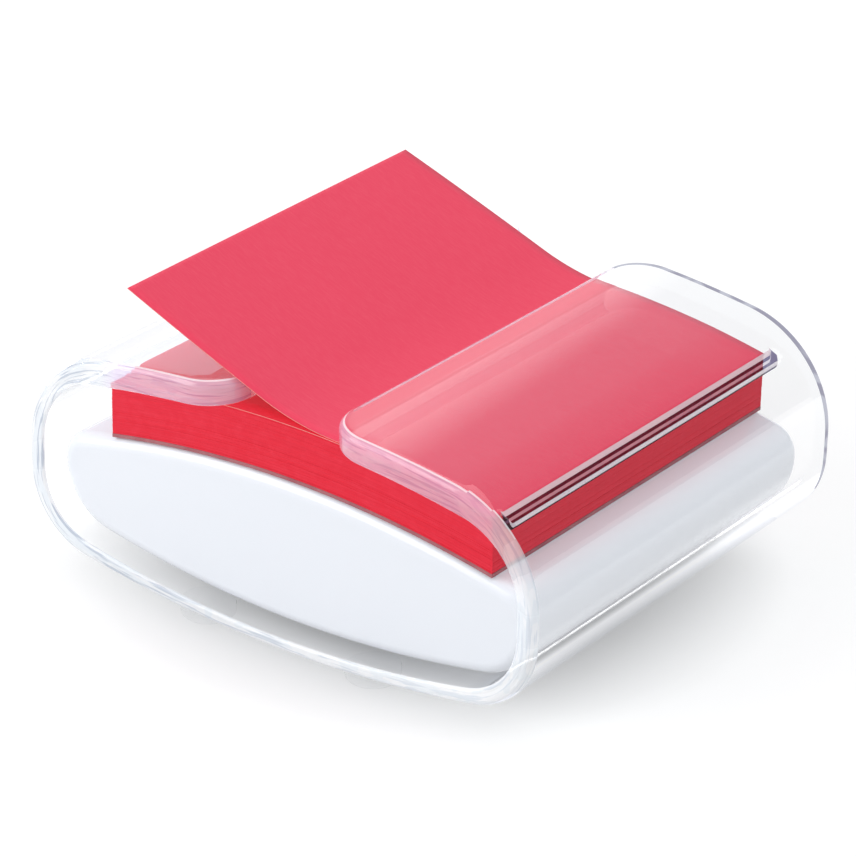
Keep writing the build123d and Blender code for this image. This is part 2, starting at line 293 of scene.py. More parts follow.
def clear_to_light(tree, shader, tint, one_sided=False):
    """Lets light pass a clear shader straight, and rays that turned inside it too often or leave a rim."""
    rays = put(tree, "LightPath").outputs
    lighting = sum_of(tree, "MAXIMUM", rays["Is Shadow Ray"], rays["Is Diffuse Ray"])
    tired = sum_of(tree, "GREATER_THAN", rays["Ray Depth"], MAX_TURNS)
    straight = sum_of(tree, "MAXIMUM", lighting, tired)
    if one_sided:
        straight = sum_of(tree, "MAXIMUM", straight, put(tree, "NewGeometry").outputs["Backfacing"])
    pass_through = put(tree, "BsdfTransparent", {"Color": (*tint, 1.0)})
    either = put(tree, "MixShader", {0: straight, 1: shader.outputs[0], 2: pass_through.outputs[0]})
    tree.links.new(either.outputs[0], tree.nodes["Material Output"].inputs["Surface"])


CLEAR_GLOSS = dict(IOR=1.03, Coat_Weight=1.0, Coat_IOR=1.49, Coat_Roughness=0.015)
CLEAR_TOUCH = {"Scratch Scale": 55.0, "Smudge Scale": 40.0}
WALL_COLOUR, OUTLINE_TINT_AND_PAINTED_SHADE, PAINTED_GLOW_COLOUR = (0.996, 0.997, 1.0), (0.48, 0.51, 0.6), (0.97, 0.98, 1.0)
clear_plastic, tree, shader = finish_named(
    "clear_plastic", Transmission_Weight=1.0, Emission_Strength=0.4, **dict(CLEAR_GLOSS, IOR=1.015)
)
marks = place(tree, handling, CLEAR_TOUCH)
skin = place(tree, moulded_skin, {"Wave Scale": 45.0, "Wave Share": 1.0})
touched = sum_of(tree, "MULTIPLY", marks["Scratch"], marks["Smudge"])
facing = put(tree, "LayerWeight", {"Blend": 0.5}).outputs["Facing"]
leaving = put(tree, "NewGeometry").outputs["Backfacing"]
level = axes_on(tree)["Z"]
low = ramp(tree, level, start=0.008, end=0.016, first=1.0, last=0.0)
# Painted shade: the colour deepens towards the outline, wide on the low corners and thin all round.
wide = ramp(tree, facing, start=0.5, end=0.85, last=low)
thin = ramp(tree, facing, start=0.76, end=1.0, last=0.6)
# A painted glow: a pale band of emission outside the low corners, on the faces that look out.
entering = sum_of(tree, "SUBTRACT", 1.0, leaving)
rising = ramp(tree, level, start=0.0085, end=0.015, last=entering)
band = ramp(tree, level, start=0.015, end=0.0165, first=rising, last=0.0)
feed(tree, shader, {
    "Base Color": tinted(tree, sum_of(tree, "MAXIMUM", wide, thin), WALL_COLOUR, OUTLINE_TINT_AND_PAINTED_SHADE),
    "Roughness": ramp(tree, touched, first=0.01, last=0.06),
    "Coat Weight": ramp(tree, sum_of(tree, "MULTIPLY", low, leaving), first=1.0, last=0.0),
    "Emission Color": tinted(tree, band, BLACK, PAINTED_GLOW_COLOUR),
    "Normal": bumped(tree, skin["Height"], strength=0.01, distance=0.001),
})
clear_to_light(tree, shader, (0.985, 0.988, 0.99))
print("finish", clear_plastic.name)

# %% [markdown]
# The rims are the same plastic seen edge on. Light that enters the wall anywhere runs along inside it and
# comes out at the rims, so they look milky and bright instead of dark. A share of plain white in the shader
# stands for that light, and streaks that follow the rim draw pale blue lines in it. Each point of a rim
# carries its run along the rim and its place across it, so that the streaks can be long one way and thin the
# other. The rims clear up in five steps from the table to the lips. They are greyer on the left and whiter on
# the right, as painted shade and light, and have a faint painted glow on their low right. Above the pad they
# are lilac, painted light from the coral below. The lips' upper edge and the rib have paler finishes of the
# same kind, painted highlights.

# %% Clear rim
# The colours of body, facets and streaks: painted shade on the left, painted light on the right, painted coral
# light above the pad, and painted highlights.
LEFT_RIM_PAINTED_SHADE = (0.9, 0.92, 0.945), (0.82, 0.87, 0.92), (0.48, 0.54, 0.64)
RIGHT_RIM_PAINTED_LIGHT = (0.985, 0.99, 1.0), (0.89, 0.93, 0.965), (0.74, 0.79, 0.86)
PAINTED_CORAL_LIGHT = (0.88, 0.76, 0.93), (0.82, 0.68, 0.88), (0.66, 0.5, 0.72)
PALE_PAINTED_CORAL_LIGHT = (0.95, 0.86, 0.95), (0.9, 0.8, 0.92), (0.82, 0.7, 0.84)
PAINTED_GLINT_TONE, PAINTED_SHINE_TONE, PAINTED_ROOT_TONE = (0.98, 0.94, 0.98), (1.0, 0.84, 0.9), (1.0, 0.76, 0.82)
RIM_LIGHT = (0.97, 0.975, 0.98)


def rim_finish(name, clearness, painted_lip_tones, one_sided, glow=0.0):
    """Milky clear plastic. painted_lip_tones gives its body, facet and streak colours above the pad, all
    painted light.
    """
    made, tree, shader = finish_named(
        name, Transmission_Weight=clearness, Emission_Strength=glow, **CLEAR_GLOSS
    )
    lines = place(tree, rim_streaks)
    marks = place(tree, handling, CLEAR_TOUCH)
    axes = axes_on(tree)
    painted_light_to_right = ramp(tree, axes["X"], start=-0.04, end=0.03)
    raised = ramp(tree, axes["Z"], start=0.026, end=0.038)
    inward = ramp(tree, axes["X"], start=0.041, end=0.045, first=raised, last=0.0)
    painted_light_over_pad = ramp(tree, axes["X"], start=-0.0345, end=-0.031, last=inward)
    # A painted glow on the low right of the rims.
    painted_glow_mask = ramp(tree, axes["Z"], start=0.012, end=0.036, first=painted_light_to_right, last=0.0)
    left_tone, right_tone, lip_tone = (
        tinted(tree, lines["Streak"], tinted(tree, lines["Facet"], body, facet), streak)
        for body, facet, streak in (LEFT_RIM_PAINTED_SHADE, RIGHT_RIM_PAINTED_LIGHT, painted_lip_tones)
    )
    # Painted light and shade: the rims are greyer on the left and whiter on the right.
    plain = tinted(tree, painted_light_to_right, left_tone, right_tone)
    feed(tree, shader, {
        "Base Color": tinted(tree, painted_light_over_pad, plain, lip_tone),
        "Roughness": ramp(tree, marks["Smudge"], first=0.03, last=0.1),
        "Emission Color": tinted(tree, painted_glow_mask, BLACK, WHITE),
        "Normal": bumped(tree, lines["Height"], strength=0.25, distance=0.001),
    })
    clear_to_light(tree, shader, RIM_LIGHT, one_sided)
    print("finish", name)
    return made


# The height in mm up to which each step of the rims goes, and its clearness.
RIM_LEVELS = ((18.0, 0.38), (24.0, 0.44), (30.0, 0.5), (35.0, 0.56), (99.0, 0.62))
# Each rim step has a faint painted glow.
rims = [
    rim_finish(f"clear_rim_{i}", clearness, PAINTED_CORAL_LIGHT, one_sided=True, glow=0.13)
    for i, (_, clearness) in enumerate(RIM_LEVELS)
]
# Over the pad the clear lip is lilac, painted coral light.
clear_lip = rim_finish("clear_lip", clearness=0.7, painted_lip_tones=PALE_PAINTED_CORAL_LIGHT, one_sided=False)
# The lips' glint is a painted highlight along their upper edge.
lip_painted_glint = rim_finish("lip_painted_glint", clearness=0.35, painted_lip_tones=[PAINTED_GLINT_TONE] * 3, one_sided=True)
# The rib's shine and root are painted highlights.
rib_painted_shine = rim_finish("rib_painted_shine", clearness=0.25, painted_lip_tones=[PAINTED_SHINE_TONE] * 3, one_sided=True)
rib_root_painted_highlight = rim_finish("rib_root_painted_highlight", clearness=0.3, painted_lip_tones=[PAINTED_ROOT_TONE] * 3, one_sided=False)

# %% [markdown]
# Where the wall turns into the back rim on the right, the plastic bends the view away and a thin blue-grey
# line shows. A narrow band of a darker clear finish draws it as painted shade.

# %% Clear edge
edge_painted_shade_line, tree, shader = finish_named(
    "edge_painted_shade_line", Transmission_Weight=1.0, **dict(CLEAR_GLOSS, Coat_Weight=0.05)
)
flow = place(tree, flow_lines, {"Line Scale": 75.0, "Width": 0.1})
# Painted shade: a dark blue-grey colour, varied by flow lines.
feed(tree, shader, {
    "Base Color": tinted(tree, flow["Line"], (0.13, 0.125, 0.19), (0.3, 0.31, 0.4)),
    "Roughness": ramp(tree, flow["Height"], first=0.02, last=0.05),
})
clear_to_light(tree, shader, RIM_LIGHT, one_sided=True)
print("finish", edge_painted_shade_line.name)

# %% [markdown]
# The fence rib is a thick bar of the same plastic. Its tip and its left flank have a dark finish of painted
# shade, while its root and its right flank have pale finishes of painted highlight.

# %% Clear rib
rib_painted_shade, tree, shader = finish_named(
    "rib_painted_shade", Transmission_Weight=1.0, **dict(CLEAR_GLOSS, Coat_Weight=0.15)
)
flow = place(tree, flow_lines, {"Line Scale": 60.0})
# Painted shade: the dark colour of the rib, varied by flow lines.
feed(tree, shader, {
    "Base Color": tinted(tree, flow["Line"], (0.05, 0.04, 0.1), (0.1, 0.09, 0.16)),
    "Roughness": ramp(tree, flow["Height"], first=0.02, last=0.06),
    "Normal": bumped(tree, flow["Height"], strength=0.12, distance=0.0015),
})
clear_to_light(tree, shader, (0.94, 0.94, 0.95))
print("finish", rib_painted_shade.name)

# %% [markdown]
# ## Finish: clear rubber
# The bumpers are soft clear drops. They are a little hazy, so they are rougher than the sleeve, and they pass
# light to the table in the same way.

# %% Clear rubber
clear_rubber, tree, shader = finish_named(
    "clear_rubber", Base_Color=(0.99, 0.992, 0.995, 1.0), Transmission_Weight=0.98, IOR=1.01
)
skin = place(tree, moulded_skin, {"Grain Scale": 3000.0, "Wave Scale": 300.0, "Wave Share": 0.5})
peel = bumped(tree, skin["Height"], strength=0.2, distance=0.0002)
feed(tree, shader, {"Roughness": ramp(tree, skin["Mottle"], first=0.12, last=0.3), "Normal": peel})
clear_to_light(tree, shader, (0.95, 0.955, 0.96))
print("finish", clear_rubber.name)

# %% [markdown]
# ## Finish: white plastic
# The base is glossy white plastic with a cool tint. Pure white would clip under the lamps and lose its shape,
# so the colour stays below it. Mottling shifts the white a little, edges are polished by wear, and the gloss
# varies where it has been handled.

# %% White plastic
SCRATCH_ROUGH, EDGE_POLISH = 0.025, -0.06
white_plastic, tree, shader = finish_named("white_plastic", IOR=1.5, Coat_Weight=0.25, Coat_Roughness=0.08)
skin = place(tree, moulded_skin, {"Grain Scale": 1800.0, "Wave Scale": 60.0, "Wave Share": 0.6})
marks = place(tree, handling)
edge = place(tree, worn_edge, {"Begin": 0.58, "End": 0.72})
gloss = ramp(tree, marks["Smudge"], first=0.16, last=0.22)
scuffed = sum_of(tree, "MULTIPLY_ADD", marks["Scratch"], SCRATCH_ROUGH, gloss)
feed(tree, shader, {
    "Base Color": tinted(tree, skin["Mottle"], (0.835, 0.865, 0.915), (0.86, 0.885, 0.93)),
    "Roughness": sum_of(tree, "MULTIPLY_ADD", edge["Edge"], EDGE_POLISH, scuffed),
    "Normal": bumped(tree, skin["Height"], strength=0.08, distance=0.0003),
})
print("finish", white_plastic.name)

# %% [markdown]
# ## Finish: coral paper
# A note is dyed through, soft and matt. Fibres lighten it in hair lines, thickness clouds it, and the nap
# gives a faint sheen at low angles. The same recipe serves the sheets and the cut sides of the pad. The sides
# and the sheets under the top one are deeper: painted bounce light from coral to coral, and painted shade.
# The pale cut edge of a single sheet is a painted highlight, for the light that it lets through.

# %% Coral paper
FIBRE_SHARE = 0.45
PAPER_SOFTNESS = dict(IOR=1.4, Specular_IOR_Level=0.3, Sheen_Weight=0.08, Sheen_Roughness=0.6)


def paper_finish(name, paper_colour, pale, deep, relief):
    """A paper from its colour and the paler and deeper colours of its fibres and clouds."""
    made, tree, shader = finish_named(name, **PAPER_SOFTNESS)
    felt = place(tree, paper_fibre)
    clouded = tinted(tree, felt["Cloud"], deep, paper_colour)
    threaded = tinted(tree, sum_of(tree, "MULTIPLY", felt["Fibre"], FIBRE_SHARE), clouded, pale)
    feed(tree, shader, {
        "Base Color": threaded,
        "Roughness": ramp(tree, felt["Cloud"], first=0.7, last=0.86),
        "Normal": bumped(tree, felt["Height"], strength=relief, distance=0.0002),
    })
    print("finish", name)
    return made, tree, shader, threaded


# Each paper's colour, pale fibres, deep clouds and relief. The deep coral is painted shade and bounce light;
# the pale cut is a painted highlight.
PAPERS = {
    "painted_deep_coral": ((0.85, 0.02, 0.045), (0.87, 0.04, 0.07), (0.82, 0.014, 0.035), 0.12),
    "coral_paper": ((0.87, 0.062, 0.122), (0.89, 0.095, 0.155), (0.84, 0.05, 0.106), 0.12),
    "painted_pale_cut": ((0.92, 0.3, 0.27), (0.94, 0.4, 0.36), (0.88, 0.22, 0.2), 0.2),
}
painted_deep_coral, coral_paper, painted_pale_cut = (paper_finish(name, *recipe)[0] for name, recipe in PAPERS.items())

# %% [markdown]
# The cut side of a pad shows its sheets as hair lines. They follow the bend of the pad, so the lines come
# from the distance to the bend's own middle, far below the table, and not from the height alone.

# %% Cut side of the pad
BEND_MIDDLE = (0.0, 0.0, -0.1606)
LINES_UP, LINES_ALONG = 9000.0, 60.0  # noise steps per metre
# The cut sides are deeper in colour, painted bounce light between the sheets.
cut_paper, tree, shader, plain = paper_finish(
    "cut_paper", (0.83, 0.022, 0.05), (0.85, 0.04, 0.075), (0.78, 0.016, 0.04), relief=0.2
)
spot = spot_on(tree)
axes = put(tree, "SeparateXYZ", {0: spot}).outputs
flat = put(tree, "VectorMath", {0: spot, 1: (1.0, 0.0, 1.0)}, operation="MULTIPLY").outputs[0]
reach = put(tree, "VectorMath", {0: flat, 1: BEND_MIDDLE}, operation="DISTANCE").outputs["Value"]
drift = [sum_of(tree, "MULTIPLY", axes[name], LINES_ALONG) for name in "XY"]
through = sum_of(tree, "MULTIPLY", reach, LINES_UP)
ruled = put(tree, "CombineXYZ", dict(enumerate([*drift, through]))).outputs[0]
shade = ramp(tree, noise(tree, ruled, scale=1.0, detail=2.0), start=0.3, end=0.6, first=0.55, last=0.0)
feed(tree, shader, {"Base Color": tinted(tree, shade, plain, (0.7, 0.012, 0.035))})
print("lines on", cut_paper.name)

# %% [markdown]
# ## Finishes of the hidden pieces
# The pad lies on a card, dark red as painted shade, which draws the dark line under the pad; steel plates and
# screws are inside the base. Nobody sees them until the base is drawn out and turned over, but they get the
# same care: fibres and rubbed edges for the card, brushed lines and dull spots for the steel.

# %% Card and steel
SMUDGE_ROUGH, BRUSH_ROUGH = 0.18, 0.12
card_painted_shade, tree, shader = finish_named("card_painted_shade", IOR=1.4)
felt = place(tree, paper_fibre, {"Fibre Scale": 260.0, "Cloud Scale": 90.0})
edge = place(tree, worn_edge)
# The card's dark red is painted shade under the pad; its rubbed edges are paler wear.
pulp = tinted(tree, felt["Cloud"], (0.26, 0.05, 0.07), (0.34, 0.07, 0.09))
flecked = tinted(tree, felt["Fibre"], pulp, (0.4, 0.13, 0.15))
feed(tree, shader, {
    "Base Color": tinted(tree, edge["Edge"], flecked, (0.46, 0.2, 0.21)),
    "Roughness": ramp(tree, felt["Cloud"], first=0.75, last=0.92),
    "Normal": bumped(tree, felt["Height"], strength=0.25, distance=0.0002),
})


def steel_finish(name, dull, bright, roughness):
    """Plated steel from its dull and bright colours."""
    made, tree, shader = finish_named(name, Metallic=1.0)
    marks = place(tree, handling, {"Scratch Scale": 90.0, "Smudge Scale": 120.0})
    skin = place(tree, moulded_skin, {"Grain Scale": 3500.0, "Wave Scale": 200.0, "Wave Share": 0.3})
    rough = ramp(tree, marks["Smudge"], first=roughness, last=roughness + SMUDGE_ROUGH)
    feed(tree, shader, {
        "Base Color": tinted(tree, marks["Smudge"], bright, dull),
        "Roughness": sum_of(tree, "MULTIPLY_ADD", marks["Scratch"], BRUSH_ROUGH, rough),
        "Normal": bumped(tree, skin["Height"], strength=0.15, distance=0.0001),
    })
    return made


ballast_steel = steel_finish("ballast_steel", (0.42, 0.42, 0.43), (0.56, 0.56, 0.57), roughness=0.38)
screw_steel = steel_finish("screw_steel", (0.5, 0.5, 0.52), (0.68, 0.68, 0.7), roughness=0.24)
print("finishes", card_painted_shade.name, ballast_steel.name, screw_steel.name)

# %% [markdown]
# ## CAD pieces that stay
# The base, its cover, the ballast, the screws, the card and the bumpers already have their right shape in the
# CAD model, so they stay and only take a finish.

# %% Dress the CAD pieces
STAYING = {
    "base_shell": white_plastic,
    "base_cover": white_plastic,
    "ballast_lower": ballast_steel,
    "ballast_upper": ballast_steel,
    "cover_screws": screw_steel,
    "backing_card": card_painted_shade,
}
STAYING.update({node: clear_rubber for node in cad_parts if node.startswith("foot_")})
for node, finish in STAYING.items():
    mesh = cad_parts[node].data
    mesh.materials.clear()
    mesh.materials.append(finish)
print("dressed", len(STAYING), "CAD pieces")

# %% [markdown]
# ## A helper for new pieces
# Each piece below is made from lists of points and faces. One helper turns them into a smooth object and
# gives it its finishes. After that, most pieces ride on their body, and the CAD nodes they stand for are
# hidden.

# %% Piece helper
MM = 0.001


def make_piece(name, points, faces, finishes, looks):
    """A smooth mesh object from points in millimetres. looks says which finish each face takes."""
    mesh = bpy.data.meshes.new(name)
    mesh.from_pydata([(x * MM, y * MM, z * MM) for x, y, z in points], [], faces)
    for finish in finishes:
        mesh.materials.append(finish)
    mesh.polygons.foreach_set("material_index", looks)
    mesh.polygons.foreach_set("use_smooth", [True] * len(mesh.polygons))
    mesh.validate()
    mesh.update()
    piece = bpy.data.objects.new(name, mesh)
    bpy.context.scene.collection.objects.link(piece)
    print(name, len(mesh.vertices), "points,", len(mesh.polygons), "faces")
    return piece


# %% [markdown]
# ## The clear sleeve
# Refraction shows every facet, so the sleeve is not the CAD mesh but a dense grid of its own, with the same
# section. The section is two lens shapes, one inside the other, each made of shallow arcs, upright sides and
# round corners. We walk along both from the tip of the left lip, round under the base, to the tip of the
# right lip, and keep for each step its place and the direction square to the surface.

# %% Section of the sleeve
SLOT_HALF, LIP_CORNER = 9.7, 7.5
OUTER_ROUND, INNER_ROUND = 1.5, 0.5
HALF_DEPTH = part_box("clear_sleeve")[1].y / MM
OUTSIDE = dict(half=50.4, low=1.6, high=44.38, low_r=224.96, high_r=222.984, low_c=13.987, high_c=18.994)
INSIDE = dict(half=47.2, low=4.0, high=39.98, low_r=190.0, high_r=200.032, low_c=11.525, high_c=12.992)
RIB_LEFT, RIB_RIGHT, RIB_LOW, RIB_ROUND, RIB_ROOT, RIB_SHOULDER = 39.66, 41.16, 32.98, 0.6, 0.35, 0.95
FLOOR_STEPS, LOW_STEPS, SIDE_STEPS, HIGH_STEPS, CROWN_STEPS = 34, 22, 6, 14, 16
LIP_STEPS, RIB_STEPS = 14, 22


def arc(centre, radius, start, end, steps):
    """Points on an arc with the direction away from its centre, without the first one."""
    turns = [start + (end - start) * (i + 1) / steps for i in range(steps)]
    ways = [(math.cos(turn), math.sin(turn)) for turn in turns]
    return [(centre[0] + radius * nx, centre[1] + radius * nz, nx, nz) for nx, nz in ways]


def half_section(half, low, high, low_r, high_r, low_c, high_c, rim):
    """The right half of a section, from its floor to the tip of its lip, and the rib's first step."""
    floor_middle, crown_middle = (0.0, low + low_r), (0.0, high - high_r)
    lower = (half - low_c, floor_middle[1] - math.sqrt((low_r - low_c) ** 2 - (half - low_c) ** 2))
    upper = (half - high_c, crown_middle[1] + math.sqrt((high_r - high_c) ** 2 - (half - high_c) ** 2))
    floor_end = math.atan2(lower[1] - floor_middle[1], lower[0])
    crown_end = math.atan2(upper[1] - crown_middle[1], upper[0])
    lip_start = math.acos((SLOT_HALF + LIP_CORNER) / high_r)
    rib_start = math.acos((RIB_RIGHT + RIB_ROOT - upper[0]) / high_c)
    rib_end = math.acos((RIB_LEFT - RIB_SHOULDER - upper[0]) / high_c)
    upright = upper[1] - lower[1]
    walk = [(0.0, low, 0.0, -1.0)]
    walk += arc(floor_middle, low_r, -math.pi / 2, floor_end, FLOOR_STEPS)
    walk += arc(lower, low_c, floor_end, 0.0, LOW_STEPS)
    walk += [(half, lower[1] + upright * (i + 1) / SIDE_STEPS, 1.0, 0.0) for i in range(SIDE_STEPS)]
    walk += arc(upper, high_c, 0.0, rib_start, HIGH_STEPS)
    rib_first = len(walk)
    walk += arc(upper, high_c, rib_start, rib_end, RIB_STEPS)
    walk += arc(upper, high_c, rib_end, crown_end, HIGH_STEPS)
    walk += arc(crown_middle, high_r, crown_end, lip_start, CROWN_STEPS)
    for i in range(LIP_STEPS):
        turn = math.pi / 2 * (1 - (i + 1) / LIP_STEPS)
        x = SLOT_HALF + LIP_CORNER - (LIP_CORNER - rim) * math.cos(turn)
        lean = math.acos(x / high_r)
        walk += [(x, crown_middle[1] + high_r * math.sin(lean), math.cos(lean), math.sin(lean))]
    return walk, rib_first


def whole_section(walk):
    """A half section and its mirror image, from the left lip to the right lip."""
    return [(-x, z, -nx, nz) for x, z, nx, nz in reversed(walk[1:])] + walk


outer_half, _ = half_section(**OUTSIDE, rim=OUTER_ROUND)
inner_half, rib_first = half_section(**INSIDE, rim=INNER_ROUND)
middle = len(outer_half) - 1
outside, inside = whole_section(outer_half), whole_section(inner_half)
print("section steps", len(outside))

# %% [markdown]
# The fence rib hangs from the inner corner on the right. Its outline takes the place of a few steps of the
# inner section: down its right face, round the tip and up its left face to a wide shoulder. Beyond the ends
# of the rib those same steps lie flat on the wall, so sleeve and rib are one closed skin, as they are one
# moulding.

# %% Rib on the inside
RIB_FRONT, RIB_BACK, RIB_END = -36.25, 39.75, 0.7
ROOT_DROP, ROOT_FLATNESS, ROUND_STEPS = 0.1, 0.5, 4
RIB_TIP, RIGHT_FLANK, LEFT_FLANK = RIB_LOW + RIB_ROUND, (0.7, 0.0), (0.6, 1.3)
rib_row = middle + rib_first
root_low, root_high = inside[rib_row - 1][1], inside[rib_row + RIB_STEPS - 1][1]
quarter = [math.pi / 2 * i / ROUND_STEPS for i in range(ROUND_STEPS + 1)]
bends = [(1 - math.cos(t), 1 - math.sin(t)) for t in quarter]
rib_line = [
    (RIB_RIGHT + RIB_ROOT * s, root_low - ROOT_DROP - RIB_ROOT * c * ROOT_FLATNESS) for c, s in bends
]
rib_line += [(RIB_RIGHT, RIB_TIP + rise) for rise in RIGHT_FLANK]
rib_line += [(RIB_RIGHT - RIB_ROUND * c, RIB_LOW + RIB_ROUND * s) for c, s in bends[1:]]
rib_line += [(RIB_LEFT + RIB_ROUND * s, RIB_LOW + RIB_ROUND * c) for c, s in bends]
rib_line += [(RIB_LEFT, RIB_TIP + rise) for rise in LEFT_FLANK]
rib_line += [(RIB_LEFT - RIB_SHOULDER * c, root_high - RIB_SHOULDER * s) for c, s in bends[1:]]
assert len(rib_line) == RIB_STEPS, len(rib_line)
print("rib steps", len(rib_line))


def rib_share(y):
    """How far a point of the rib's outline is out from the wall at a place along the sleeve."""
    inward = min(y - RIB_FRONT, RIB_BACK - y) / RIB_END
    return 0.0 if inward <= 0 else 1.0 if inward >= 1 else math.sqrt(1 - (1 - inward) ** 2)


# %% [markdown]
# Now the grid. Along the sleeve each step of the section becomes a row of points. Near a lip's tip the rows
# shorten, so that the lips end in round corners. Both skins stop short of the mouths and the slot, and a
# strip runs round their common edge: a quarter circle from the outer skin, a flat, and a tight quarter circle
# in. First we set the columns, and say which finish each face takes.

# %% Columns and finishes of the sleeve
SPANS, RIB_END_SPANS = 60, 6
LINE_START, LINE_LOW, LINE_STEPS = 0.9925, 12.0, 3
GLINT_LOW, GLINT_RISE, GLINT_STEPS = 37.0, 2.0, 3
OUTER_STEPS, FLAT_STEPS, INNER_STEPS = 7, 5, 5
columns_at = {round(i / SPANS, 5) for i in range(SPANS + 1)} | {LINE_START}
for end, sign in ((RIB_FRONT, 1), (RIB_BACK, -1)):
    for k in range(RIB_END_SPANS + 1):
        y = end + sign * RIB_END * k / RIB_END_SPANS
        columns_at.add(round(0.5 + y / (2 * (HALF_DEPTH - INNER_ROUND)), 5))
stations = sorted(columns_at)
ROWS, COLUMNS = len(outside), len(stations)
sleeve_finishes = [clear_plastic, rib_painted_shade, edge_painted_shade_line, clear_lip, lip_painted_glint, rib_painted_shine, rib_root_painted_highlight, *rims]
WALL, RIB, LINE, LIP, GLINT, SHINE, ROOT, RIM = range(8)
# Painted highlight on the right root and flank, painted shade round the tip and left flank, painted highlight
# at the shoulder.
RIB_LOOKS = [SHINE] * 6 + [RIB] * 9 + [LIP, RIB] + [ROOT] * 2
print("sleeve grid", ROWS, "by", COLUMNS)


def lip_turn(row):
    """Direction of the sheet's edge at the end of a row: a right angle along a mouth, zero along the slot."""
    return math.pi / 2 * min(1.0, min(row, ROWS - 1 - row) / LIP_STEPS)


def rib_look(step):
    """The finish of a face on the rib, from its right flank round the tip to its root, in painted highlight
    and painted shade. Plain elsewhere.
    """
    return RIB_LOOKS[step] if 0 <= step < len(RIB_LOOKS) else WALL


def edge_look(row, column, step):
    """The finish of a face on the strip round the sheet: milky, with thin painted dark lines and a painted
    highlight, and clear in the slot.
    """
    if 0 < column < COLUMNS - 1:
        return LIP if step < OUTER_STEPS else WALL
    if column and step < LINE_STEPS:
        return LINE if row > middle else WALL
    height = outside[row][1]
    glint_step = min(int((height - GLINT_LOW) / GLINT_RISE), GLINT_STEPS - 1)
    if not column and step <= glint_step:
        return GLINT if step == glint_step else WALL
    return RIM + next(i for i, (top, _) in enumerate(RIM_LEVELS) if height < top)


# %% Skins of the sleeve
RIB_MARGIN = 0.1
RIB_STREAK_STEP, RIB_STREAK_PLACE = 0.05, 7.0
points, faces, looks, rim_places = [], [], [], {}
for walk, rim, skin_inside in ((outside, OUTER_ROUND, False), (inside, INNER_ROUND, True)):
    start = len(points)
    for row, (x, z, nx, nz) in enumerate(walk):
        reach = HALF_DEPTH - LIP_CORNER + (LIP_CORNER - rim) * math.sin(lip_turn(row))
        for share in stations:
            y = reach * (2 * share - 1)
            at = Vector((x, y, z))
            if skin_inside and rib_row <= row < rib_row + RIB_STEPS:
                rib_x, rib_z = rib_line[row - rib_row]
                at = at.lerp(Vector((rib_x, y, rib_z)), rib_share(y))
                rim_places[len(points)] = (y, RIB_STREAK_STEP * (row - rib_row), RIB_STREAK_PLACE)
            points.append(at)
    for row in range(ROWS - 1):
        lined = not skin_inside and row > middle and walk[row][1] > LINE_LOW
        for column in range(COLUMNS - 1):
            a = start + row * COLUMNS + column
            quad = (a, a + 1, a + COLUMNS + 1, a + COLUMNS)
            faces.append(quad[::-1] if skin_inside else quad)
            on_rib = skin_inside and RIB_FRONT < points[a].y < RIB_BACK - RIB_MARGIN
            plain_look = LINE if lined and column == COLUMNS - 2 else WALL
            looks.append(rib_look(row - rib_row) if on_rib else plain_look)
print("skins", len(points), "points")

# %% Strip round the edge of the sleeve
edge_loop = [(row, 0) for row in range(ROWS)] + [(ROWS - 1, column) for column in range(1, COLUMNS)]
edge_loop += [(row, COLUMNS - 1) for row in range(ROWS - 2, -1, -1)]
edge_loop += [(0, column) for column in range(COLUMNS - 2, 0, -1)]


def outward(row, column, walk):
    """Away from the sheet at its edge, in its own plane, and square to the sheet."""
    x, z, nx, nz = walk[row]
    to_slot = Vector((-nz, 0.0, nx)) if row > middle else Vector((nz, 0.0, -nx))
    end = 0.0 if 0 < column < COLUMNS - 1 else lip_turn(row)
    side = Vector((0.0, -1.0 if column < COLUMNS / 2 else 1.0, 0.0))
    return to_slot * math.cos(end) + side * math.sin(end), Vector((nx, 0.0, nz))


strips = []
for row, column in edge_loop:
    outer_at = row * COLUMNS + column
    inner_at = ROWS * COLUMNS + outer_at
    out, square = outward(row, column, outside)
    rounded = [
        points[outer_at] + OUTER_ROUND * (out * math.sin(t) - square * (1 - math.cos(t)))
        for t in (math.pi / 2 * (i + 1) / OUTER_STEPS for i in range(OUTER_STEPS))
    ]
    out, square = outward(row, column, inside)
    turned = [
        points[inner_at] + INNER_ROUND * (out * math.cos(t) + square * (1 - math.sin(t)))
        for t in (math.pi / 2 * i / INNER_STEPS for i in range(INNER_STEPS))
    ]
    flat = [rounded[-1].lerp(turned[0], (i + 1) / FLAT_STEPS) for i in range(FLAT_STEPS - 1)]
    added = rounded + flat + turned
    strips.append([outer_at, *range(len(points), len(points) + len(added)), inner_at])
    points += added
run = 0.0
for before, strip in zip([strips[0]] + strips, strips):
    run += (points[strip[0]] - points[before[0]]).length
    across = 0.0
    for k, at in enumerate(strip):
        across += (points[at] - points[strip[max(k - 1, 0)]]).length
        rim_places[at] = (run, across, 0.0)
for (row, column), here, there in zip(edge_loop, strips, strips[1:] + strips[:1]):
    for k in range(len(here) - 1):
        faces.append((here[k], there[k], there[k + 1], here[k + 1]))
        looks.append(edge_look(row, column, k))

sleeve = make_piece("sleeve_skin", points, faces, sleeve_finishes, looks)
on_rims = sleeve.data.attributes.new("rim_place", "FLOAT_VECTOR", "POINT")
no_place = (0.0, 0.0, 0.0)
on_rims.data.foreach_set("vector", [v for i in range(len(points)) for v in rim_places.get(i, no_place)])
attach(sleeve, "sleeve")
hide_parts("clear_sleeve")

# %% [markdown]
# ## The pad
# The pad is bent over the base, so a sheet is a shallow arc. We could leave one block, but a real pad's sides
# are the cut edges of many sheets that never lie quite flush. Each sheet here has its own small offset, and
# the sides step from sheet to sheet.

